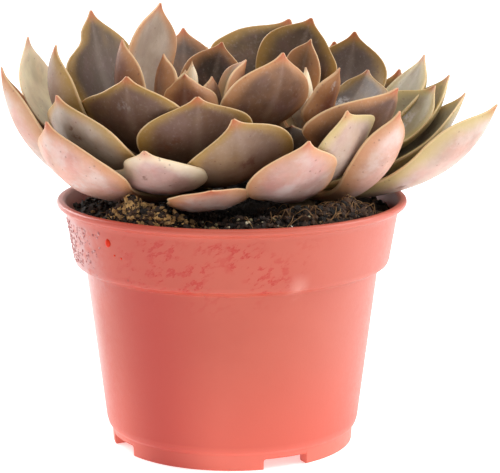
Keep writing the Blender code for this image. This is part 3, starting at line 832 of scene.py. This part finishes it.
def dryness(x, y):
    """How pale the soil is: 0 where damp, near 1 on the dry heap at the front left."""
    heap = math.exp(-((x + 33) ** 2 + (y + 38) ** 2) / (2 * 9.0**2))
    patch = math.exp(-((x - 40) ** 2 + (y + 32) ** 2) / (2 * 11.0**2))
    return 0.12 + 0.5 * heap + 0.3 * patch + 0.12 * noise.noise(Vector((x, y, 5.0)) * 0.15)


def make_soil(mat):
    last = SOIL_SIDE[-1][0]
    top = [(last * (1 - i / SOIL_RINGS), SOIL_LEVEL) for i in range(1, SOIL_RINGS + 1)]
    bm = spun([(0.0, SOIL_SIDE[0][1])] + SOIL_SIDE + top, SOIL_SEGMENTS)
    for vert in bm.verts:
        if vert.co.z > SOIL_LEVEL - 0.1 and vert.co.xy.length < last - 0.1:
            vert.co.z = surface(*vert.co.xy)
    tones = [dryness(*vert.co.xy) for vert in bm.verts]
    soil = hand_over("soil_bed", bm, mat, 180.0)
    grade(soil, "tone", tones)
    settle(soil, "soil", "soil")


def tumble(rng):
    """A random turn."""
    turn = Matrix.Rotation(rng.uniform(0, math.tau), 4, "Z")
    return turn @ Matrix.Rotation(rng.uniform(0, math.tau), 4, "X")


def strew(name, mat, slot, seed, count, sizes, flat, tone_of, spots, sink=0.2, rough=0.4):
    """Rough grains lying on the soil, each with its own size, turn and tone."""
    rng = random.Random(seed)
    bm = bmesh.new()
    layer = bm.verts.layers.float.new("tone")
    for _ in range(count):
        x, y = spots(rng)
        size = rng.triangular(sizes[0], sizes[1], sizes[0])
        lift = surface(x, y) + size * (1 - sink) * flat
        shape = Matrix.Diagonal((size, size * rng.uniform(0.6, 1.0), size * flat, 1.0))
        lean = Matrix.Rotation(rng.uniform(-0.6, 0.6), 4, "X") if flat < 0.4 else tumble(rng)
        turn = Matrix.Rotation(rng.uniform(0, math.tau), 4, "Z")
        made = bmesh.ops.create_icosphere(
            bm, subdivisions=1, radius=1.0,
            matrix=Matrix.Translation((x, y, lift)) @ turn @ lean @ shape,
        )
        tone = tone_of(rng, x, y)
        middle = Vector((x, y, lift))
        for vert in made["verts"]:
            vert.co += (vert.co - middle) * rng.uniform(-rough, rough)
            vert[layer] = tone
    settle(hand_over(name, bm, mat, 28.0), slot)


def anywhere(rng):
    """A place on the open soil, more often near the front rim."""
    while True:
        radius = SOIL_REACH * math.sqrt(rng.uniform(0.05, 1.0))
        angle = rng.gauss(-math.pi / 2, 1.3)
        x, y = radius * math.cos(angle), radius * math.sin(angle)
        if math.hypot(x, y) < SOIL_REACH:
            return x, y


def around(cx, cy, spread):
    """Places gathered about one point."""
    def pick(rng):
        while True:
            x, y = rng.gauss(cx, spread), rng.gauss(cy, spread * 0.7)
            if math.hypot(x, y) < SOIL_REACH:
                return x, y
    return pick


def soil_tone(rng, x, y):
    return min(1.0, max(0.0, dryness(x, y) + rng.uniform(-0.15, 0.35)))


def heap_tone(rng, x, y):
    return rng.choice((0.05, 0.2, 0.45, 0.8, 1.0))


def clump_tone(rng, x, y):
    return rng.choice((0.0, 0.1, 0.25, 0.4, 0.6))


def fibre_points(rng, x, y, length, rise):
    """A wandering thread that starts and ends in the soil."""
    heading = rng.uniform(0, math.tau)
    count = 7
    points = []
    for i in range(count):
        share = i / (count - 1)
        lift = rise * math.sin(share * math.pi) + 0.2
        points.append(Vector((x, y, surface(x, y) + lift)))
        heading += rng.uniform(-0.9, 0.9)
        x += math.cos(heading) * length / count
        y += math.sin(heading) * length / count
        radius = math.hypot(x, y)
        if radius > 53.0:
            x, y = x * 53.0 / radius, y * 53.0 / radius
    return points


def threads(name, mat, slot, lines, thickness, tone):
    """Round threads through the given lines of points, as one closed mesh."""
    curve = bpy.data.curves.new(name, "CURVE")
    curve.dimensions = "3D"
    curve.bevel_depth = thickness / 2 * MM
    curve.bevel_resolution = 1
    curve.resolution_u = 4
    curve.use_fill_caps = True
    for points in lines:
        spline = curve.splines.new("NURBS")
        spline.points.add(len(points) - 1)
        for node, at in zip(spline.points, points):
            node.co = (*(at * MM), 1.0)
        spline.use_endpoint_u = True
        spline.order_u = 4
    holder = bpy.data.objects.new(name + "_curve", curve)
    bpy.context.collection.objects.link(holder)
    graph = bpy.context.evaluated_depsgraph_get()
    mesh = bpy.data.meshes.new_from_object(holder.evaluated_get(graph))
    mesh.name = name
    bpy.data.objects.remove(holder, do_unlink=True)
    mesh.materials.clear()
    mesh.materials.append(mat)
    mesh.shade_smooth()
    piece = bpy.data.objects.new(name, mesh)
    bpy.context.collection.objects.link(piece)
    grade(piece, "tone", [tone] * len(mesh.vertices))
    settle(piece, slot)


def make_litter(earth, perlite, straw):
    """Everything that lies loose on the soil."""
    for batch in range(4):
        strew(
            f"soil_crumbs_{batch}", earth, "soil", 30 + batch, 620, (0.3, 1.5), 0.85,
            soil_tone, anywhere,
        )
    for batch in range(4):
        strew(
            f"heap_crumbs_{batch}", earth, "soil", 50 + batch, 620, (0.3, 1.5), 0.8,
            heap_tone, around(-34, -40, 9.0), sink=0.5 - batch * 0.35,
        )
    for batch in range(3):
        strew(
            f"coir_clumps_{batch}", earth, "soil", 90 + batch, 460, (0.3, 2.0), 0.8,
            clump_tone, around(36, -38, 10.0), sink=0.5 - batch * 0.3,
        )
    strew(
        "bark_flakes", earth, "soil", 7, 520, (0.4, 1.3), 0.3,
        lambda rng, x, y: rng.uniform(0.6, 1.0), around(-30, -42, 7.5), sink=-3.5,
    )
    strew(
        "perlite_grains", perlite, "soil", 13, 170, (0.25, 0.9), 0.8,
        lambda rng, x, y: rng.uniform(0.0, 1.0), around(10, -48, 17.0), sink=-0.8,
    )
    rng = random.Random(21)
    lines = []
    for _ in range(150):
        x, y = around(36, -40, 10.0)(rng) if rng.random() < 0.7 else anywhere(rng)
        lines.append(fibre_points(rng, x, y, rng.uniform(5, 16), rng.uniform(0.8, 4.0)))
    threads("coir_fibres", straw, "soil", lines, 0.24, 0.75)


# ---- stems -----------------------------------------------------------------
def make_stem(head, mat):
    """A knobbly stem: swollen rings where old leaves sat."""
    x, y = HEADS[head]
    steps = 40
    profile = [(0.0, STEM_FOOT)]
    for i in range(steps + 1):
        z = STEM_FOOT + (STEM_TOP - STEM_FOOT) * i / steps
        taper = 2.2 * max(0.0, (z - STEM_TOP + 8) / 8)
        profile.append((STEM_RADIUS - 0.35 - taper + 0.3 * math.sin(z * 1.6), z))
    profile.append((0.0, STEM_TOP))
    bm = spun(profile, 40)
    for vert in bm.verts:
        bump = noise.noise(vert.co * 0.5 + Vector((x, y, 0)))
        vert.co.x *= 1 + 0.06 * bump
        vert.co.y *= 1 + 0.06 * bump
    bmesh.ops.translate(bm, vec=(x, y, 0.0), verts=bm.verts)
    settle(hand_over("stem_bark_" + head, bm, mat), "stem", "stem_" + head)


# ---- leaves ----------------------------------------------------------------
class Midrib:
    """The curve a leaf is built on, from its place on the stem to its tip."""

    def __init__(self, leaf):
        az = math.radians(leaf.azimuth)
        out = Vector((math.cos(az), math.sin(az), 0.0))
        self.side = UP.cross(out)
        axis = Vector((*HEADS[leaf.head], 0.0))
        base = axis + out * leaf.stem + UP * leaf.base
        tip = axis + out * leaf.reach + UP * leaf.tip
        handle = (tip - base).length * 0.42
        low, high = math.radians(leaf.rise_base), math.radians(leaf.rise_tip)
        bow = self.side * handle * math.sin(math.radians(leaf.sway))
        start = base + (out * math.cos(low) + UP * math.sin(low)) * handle + bow
        end = tip - (out * math.cos(high) + UP * math.sin(high)) * handle + bow
        self.points = base, start, end, tip

    def place(self, t):
        b, c, d, e = self.points
        u = 1.0 - t
        return b * u**3 + c * (3 * u * u * t) + d * (3 * u * t * t) + e * t**3

    def heading(self, t):
        b, c, d, e = self.points
        u = 1.0 - t
        return ((c - b) * (u * u) + (d - c) * (2 * u * t) + (e - d) * (t * t)).normalized()


def make_leaf(leaf, mat):
    """A sphere drawn out along the midrib into a fleshy blade with a pointed tip."""
    rib = Midrib(leaf)
    luck = random.Random(leaf.name)
    seed = Vector((luck.uniform(0, 90), luck.uniform(0, 90), luck.uniform(0, 90)))
    scars = SCARS.get(leaf.name, [])
    bm = bmesh.new()
    lie = bm.verts.layers.float_vector.new("lie")
    edge = bm.verts.layers.float.new("edge")
    scar = bm.verts.layers.float.new("scar")
    bmesh.ops.create_uvsphere(bm, u_segments=BLADE_SEGMENTS, v_segments=BLADE_RINGS, radius=1.0)
    for vert in bm.verts:
        t = (vert.co.z + 1.0) / 2.0
        ring = math.hypot(vert.co.x, vert.co.y)
        across, through = (vert.co.x / ring, vert.co.y / ring) if ring > 1e-6 else (0.0, 0.0)
        heading = rib.heading(t)
        side = (rib.side - heading * rib.side.dot(heading)).normalized()
        turn = math.radians(leaf.roll) * min(1.0, t * 1.6)
        side = Matrix.Rotation(turn, 3, heading) @ side
        inward = heading.cross(side)
        half = leaf.width / 2 * along(WIDTH_ALONG, t**leaf.shoulder)
        half *= 1 + sum(
            gain * math.exp(-(((t - spot) / spread) ** 2))
            for lobe_side, spot, gain, spread in LOBES.get(leaf.name, [])
            if lobe_side * across > 0
        )
        thick = LEAF_THICKNESS * along(THICKNESS_ALONG, t)
        crease = math.sqrt(across**2 + 0.02) - math.sqrt(0.02)
        lift = half * (leaf.cup * across**2 + LEAF_FOLD * crease)
        share = 0.35 if through > 0 else 0.65
        wave = noise.noise(seed + Vector((t * 3.0, across * 0.8, 0.0)))
        margin = noise.noise(seed + Vector((t * 7.0, math.copysign(5.0, across), 0.0)))
        pleat = noise.noise(seed + Vector((t * 1.2, across * 3.2, 9.0)))
        at = rib.place(t)
        at += side * across * half * (1 + 0.035 * margin * abs(across))
        at += inward * (lift + through * share * thick)
        at += inward * half * (0.07 * wave * across**2 + 0.05 * pleat)
        vert[lie] = (t, across, 1.0 if through > 0 else 0.0)
        vert[edge] = half * (1 - abs(across))
        vert[scar] = sum(
            sign * math.exp(-2 * ((t - up) ** 2 + (0.5 * (across - over)) ** 2) / spread**2)
            for up, over, spread, sign in scars
        )
        vert.co = at
    bmesh.ops.recalc_face_normals(bm, faces=bm.faces)
    piece = hand_over(leaf.name.replace("leaf_", "blade_"), bm, mat, 180.0)
    outer, inner, margin_tone, shade = LOOKS.get(leaf.name, USUAL_LOOK)
    grade(piece, "shade", [shade] * len(piece.data.vertices))
    paint(piece, "outer_tone", tint(*TONES[outer]))
    paint(piece, "inner_tone", tint(*TONES[inner]))
    paint(piece, "edge_tone", tint(*TONES[margin_tone]))
    settle(piece, "leaf", leaf.name)


# ---- studio ----------------------------------------------------------------
CAMERA_PLACE = (0.0062, -0.720, 0.2195)
CAMERA_DIP = 11.64
CAMERA_LENS = 153.36
LAMP_AIM = (0.0, 0.0, 0.09)


def make_studio(paper):
    bm = bmesh.new()
    bmesh.ops.create_grid(bm, x_segments=8, y_segments=8, size=4000.0)
    floor = hand_over("studio_floor", bm, paper)

    world = bpy.data.worlds.new("studio_white")
    world.use_nodes = True
    sky = world.node_tree.nodes["Background"]
    sky.inputs["Color"].default_value = (1.0, 0.995, 0.985, 1.0)
    sky.inputs["Strength"].default_value = 0.55
    bpy.context.scene.world = world

    # (name, place, size, power): all aim at the plant
    lamps = [
        ("soft_left", (-0.95, 0.75, 0.65), 0.8, 15.0),
        ("soft_right", (1.15, -0.05, 0.7), 0.9, 13.0),
        ("soft_top", (0.1, -0.5, 1.4), 0.7, 5.0),
    ]
    for name, spot, size, power in lamps:
        light = bpy.data.lights.new(name, "AREA")
        light.shape = "SQUARE"
        light.size = size
        light.energy = power
        lamp = bpy.data.objects.new(name, light)
        lamp.location = spot
        lamp.rotation_euler = (Vector(LAMP_AIM) - Vector(spot)).to_track_quat("-Z", "Y").to_euler()
        bpy.context.collection.objects.link(lamp)

    view = bpy.data.cameras.new("front_view")
    view.lens = CAMERA_LENS
    view.sensor_width = 36.0
    view.sensor_fit = "HORIZONTAL"
    view.clip_start = 0.01
    camera = bpy.data.objects.new("front_view", view)
    camera.location = CAMERA_PLACE
    camera.rotation_euler = (math.radians(90.0 - CAMERA_DIP), 0.0, 0.0)
    bpy.context.collection.objects.link(camera)
    bpy.context.scene.camera = camera
    bpy.context.scene.view_settings.view_transform = "Standard"


leaf_skin = leaf_finish()
peat = soil_finish("peat", (26, 20, 15), (78, 54, 36), (204, 164, 104))
perlite = soil_finish("perlite", (150, 138, 96), (196, 184, 150), (238, 232, 216))
straw = soil_finish("straw", (90, 62, 38), (128, 92, 56), (176, 140, 92))

make_pot(pot_finish())
make_droplets(droplet_finish())
make_soil(peat)
make_litter(peat, perlite, straw)
bark = stem_finish()
for head in HEADS:
    make_stem(head, bark)
for leaf in LEAVES:
    make_leaf(leaf, leaf_skin)
make_studio(floor_finish())
